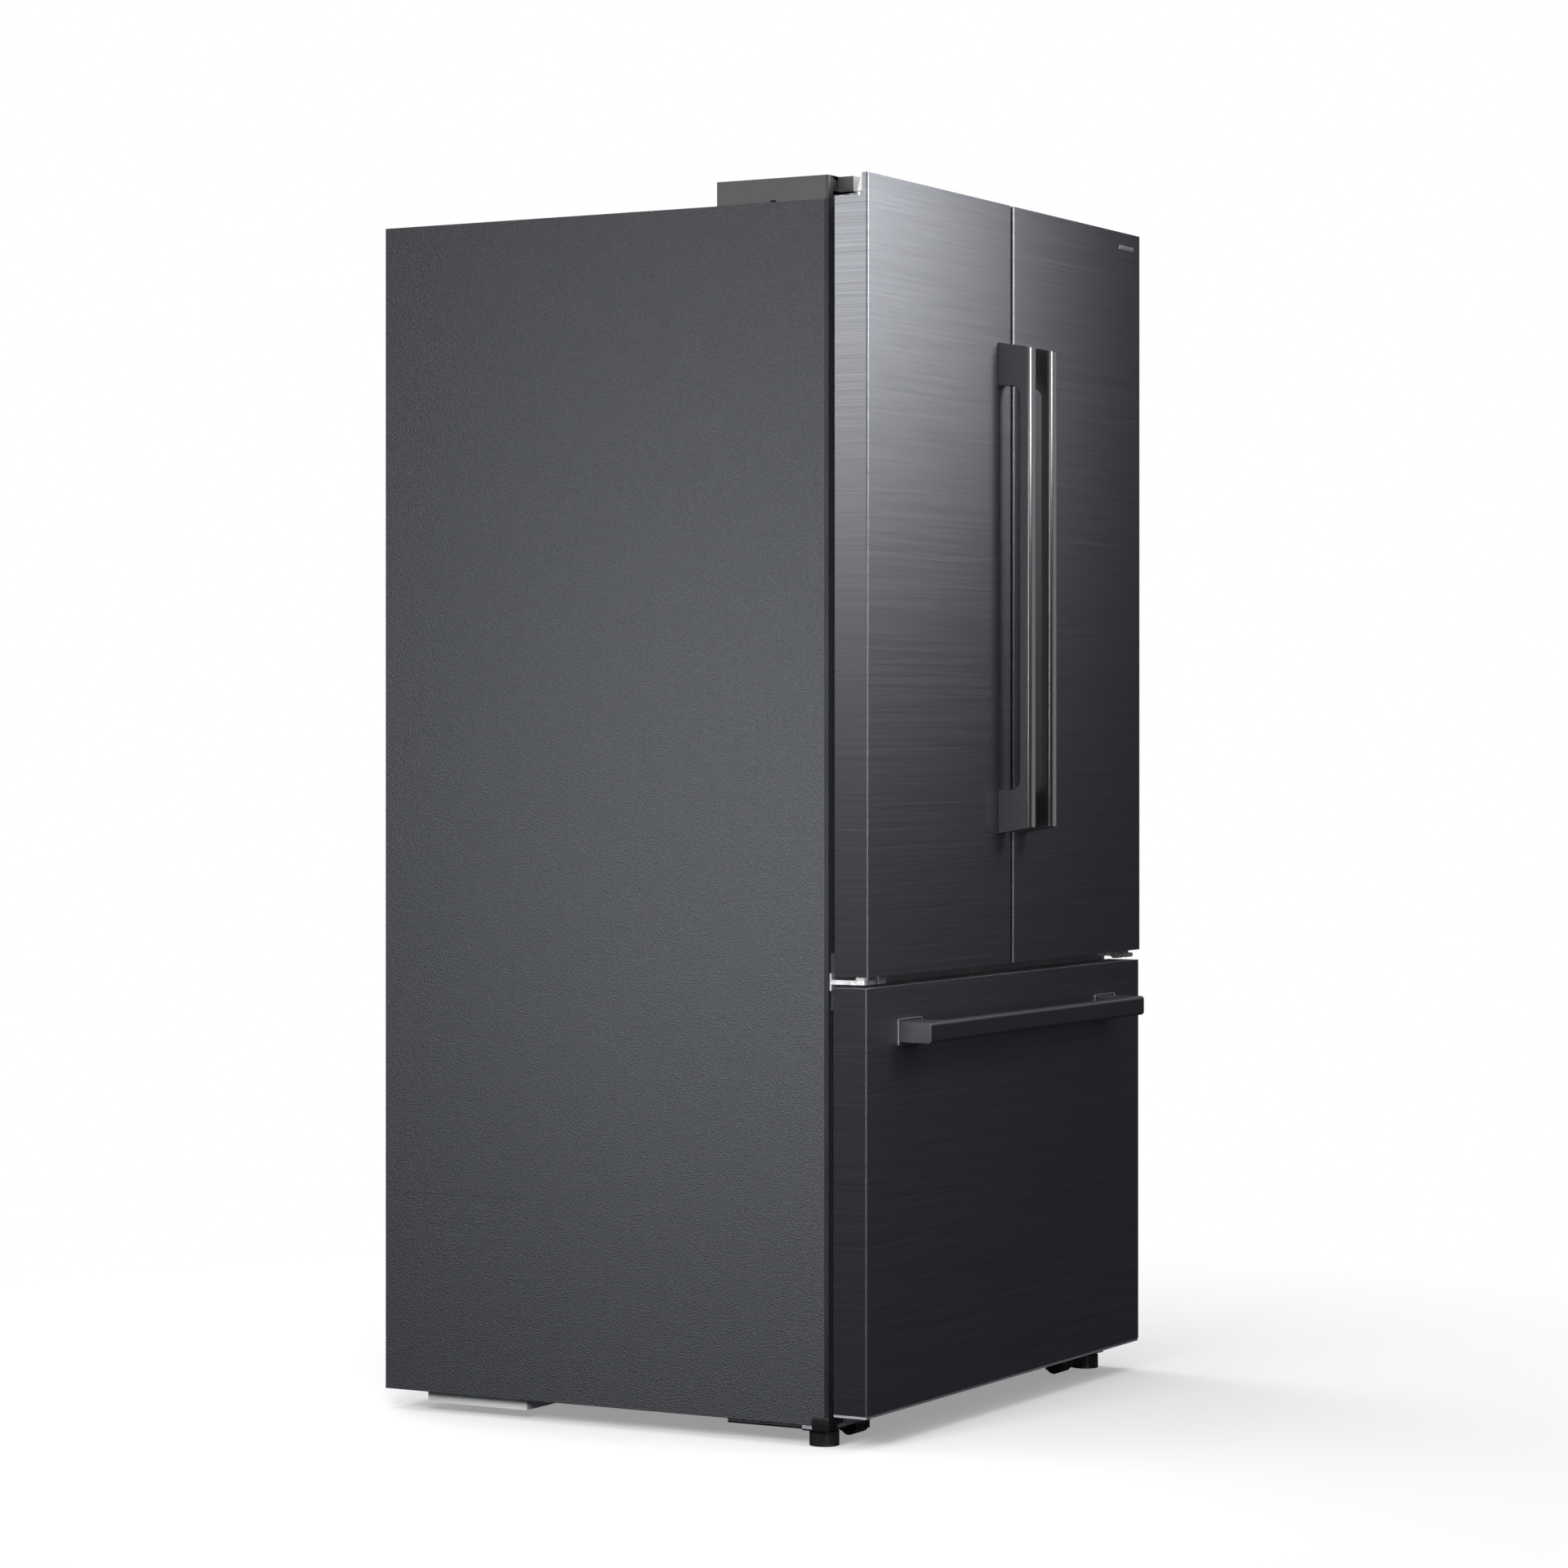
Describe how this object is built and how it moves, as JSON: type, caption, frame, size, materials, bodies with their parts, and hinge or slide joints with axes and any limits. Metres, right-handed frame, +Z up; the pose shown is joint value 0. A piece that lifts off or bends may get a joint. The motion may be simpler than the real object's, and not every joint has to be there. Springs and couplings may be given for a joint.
{
  "type": "french door refrigerator",
  "caption": "Free-standing refrigerator with two upper doors over a full-width freezer drawer, bar handles, shelves, bins, crispers and cooling parts.",
  "frame": {"origin": "middle of the bounding box's footprint, on the floor", "axes": "+Z up, -Y out of the doors, +X to the right of someone facing the doors"},
  "size_m": [0.908, 0.856, 1.771],
  "materials": {
    "dark_steel": "satin",
    "dark_stainless": "satin",
    "handle_black": "gloss",
    "cap_grey": "satin",
    "cover_grey": "matte",
    "black_plastic": "matte",
    "foam": "matte",
    "white_plastic": "satin",
    "clear_plastic": "gloss",
    "shelf_glass": "gloss",
    "zinc_steel": "satin",
    "hinge_nickel": "satin",
    "seal_rubber": "matte",
    "coil_aluminium": "satin",
    "black_steel": "satin",
    "fan_plastic": "matte",
    "pan_plastic": "matte",
    "roller_plastic": "satin"
  },
  "bodies": {
    "cabinet": {"side_panel_left": "dark_steel", "side_panel_right": "dark_steel", "top_panel": "dark_steel", "back_panel": "zinc_steel", "cabinet_insulation": "foam", "fridge_liner": "white_plastic", "freezer_liner": "white_plastic", "divider_rail": "zinc_steel", "base_frame": "zinc_steel", "hinge_cover_left": "cover_grey", "hinge_cover_right": "cover_grey", "top_hinges": "hinge_nickel", "mid_hinges": "hinge_nickel", "hinge_screws": "zinc_steel", "shelf_frames": "white_plastic", "shelf_glass": "shelf_glass", "air_duct": "white_plastic", "control_panel": "white_plastic", "evaporator_cover": "white_plastic", "evaporator": "coil_aluminium", "compressor": "black_steel", "condenser": "black_steel", "drain_pan": "pan_plastic", "machine_cover": "zinc_steel", "water_valve": "pan_plastic", "freezer_rails_fixed": "zinc_steel", "ice_maker": "white_plastic"},
    "evaporator_fan_wheel": {"evaporator_fan": "fan_plastic"},
    "condenser_fan_wheel": {"condenser_fan": "black_plastic"},
    "left_foot": {"foot_left": "black_plastic"},
    "right_foot": {"foot_right": "black_plastic"},
    "front_roller_pair": {"front_rollers": "roller_plastic"},
    "rear_roller_pair": {"rear_rollers": "roller_plastic"},
    "left_crisper": {"crisper_left": "clear_plastic"},
    "right_crisper": {"crisper_right": "clear_plastic"},
    "mullion": {"mullion_bar": "cap_grey"},
    "left_door": {"door_skin_left": "dark_stainless", "door_liner_left": "white_plastic", "door_core_left": "foam", "door_caps_left": "cap_grey", "door_gasket_left": "seal_rubber", "handle_left": "handle_black", "door_bins_left": "clear_plastic"},
    "right_door": {"door_skin_right": "dark_stainless", "door_liner_right": "white_plastic", "door_core_right": "foam", "door_caps_right": "cap_grey", "door_gasket_right": "seal_rubber", "handle_right": "handle_black", "door_bins_right": "clear_plastic"},
    "dairy_flap": {"dairy_lid": "clear_plastic"},
    "freezer_drawer": {"freezer_skin": "dark_stainless", "freezer_door_liner": "white_plastic", "freezer_core": "foam", "freezer_caps": "cap_grey", "freezer_gasket": "seal_rubber", "freezer_handle": "handle_black", "freezer_rails_moving": "zinc_steel", "freezer_basket": "white_plastic"},
    "upper_tray": {"freezer_tray": "clear_plastic"}
  },
  "joints": [
    {"name": "left_door_hinge", "type": "hinge", "parent": "cabinet", "child": "left_door", "pos_m": [-0.432, -0.356, 1.2], "axis": [0, 0, -1], "range_deg": [0, 120]},
    {"name": "right_door_hinge", "type": "hinge", "parent": "cabinet", "child": "right_door", "pos_m": [0.432, -0.356, 1.2], "axis": [0, 0, 1], "range_deg": [0, 120]},
    {"name": "mullion_hinge", "type": "hinge", "parent": "left_door", "child": "mullion", "pos_m": [-0.027, -0.305, 1.187], "axis": [0, 0, -1], "range_deg": [0, 90]},
    {"name": "dairy_lid_hinge", "type": "hinge", "parent": "right_door", "child": "dairy_flap", "pos_m": [0.227, -0.31, 1.459], "axis": [1, 0, 0], "range_deg": [0, 85]},
    {"name": "freezer_drawer_slide", "type": "slide", "parent": "cabinet", "child": "freezer_drawer", "axis": [0, -1, 0], "range_m": [0, 0.4]},
    {"name": "upper_tray_slide", "type": "slide", "parent": "cabinet", "child": "upper_tray", "axis": [0, -1, 0], "range_m": [0, 0.3]},
    {"name": "left_crisper_slide", "type": "slide", "parent": "cabinet", "child": "left_crisper", "axis": [0, -1, 0], "range_m": [0, 0.21]},
    {"name": "right_crisper_slide", "type": "slide", "parent": "cabinet", "child": "right_crisper", "axis": [0, -1, 0], "range_m": [0, 0.21]},
    {"name": "evaporator_fan_spin", "type": "hinge", "parent": "cabinet", "child": "evaporator_fan_wheel", "pos_m": [0, 0.328, 0.534], "axis": [0, 1, 0], "continuous": true},
    {"name": "condenser_fan_spin", "type": "hinge", "parent": "cabinet", "child": "condenser_fan_wheel", "pos_m": [-0.078, 0.326, 0.14], "axis": [1, 0, 0], "continuous": true},
    {"name": "left_foot_turn", "type": "hinge", "parent": "cabinet", "child": "left_foot", "pos_m": [-0.427, -0.293, 0.01], "axis": [0, 0, 1], "continuous": true},
    {"name": "right_foot_turn", "type": "hinge", "parent": "cabinet", "child": "right_foot", "pos_m": [0.427, -0.293, 0.01], "axis": [0, 0, 1], "continuous": true},
    {"name": "front_roller_spin", "type": "hinge", "parent": "cabinet", "child": "front_roller_pair", "pos_m": [0, -0.292, 0.016], "axis": [1, 0, 0], "continuous": true},
    {"name": "rear_roller_spin", "type": "hinge", "parent": "cabinet", "child": "rear_roller_pair", "pos_m": [0, 0.368, 0.013], "axis": [1, 0, 0], "continuous": true}
  ],
  "couplings": [
    {"joint": "upper_tray_slide", "follows": "freezer_drawer_slide", "ratio": 0.75},
    {"joint": "left_crisper_slide", "follows": "left_door_hinge", "m_per_rad": 0.1},
    {"joint": "right_crisper_slide", "follows": "right_door_hinge", "m_per_rad": 0.1}
  ]
}
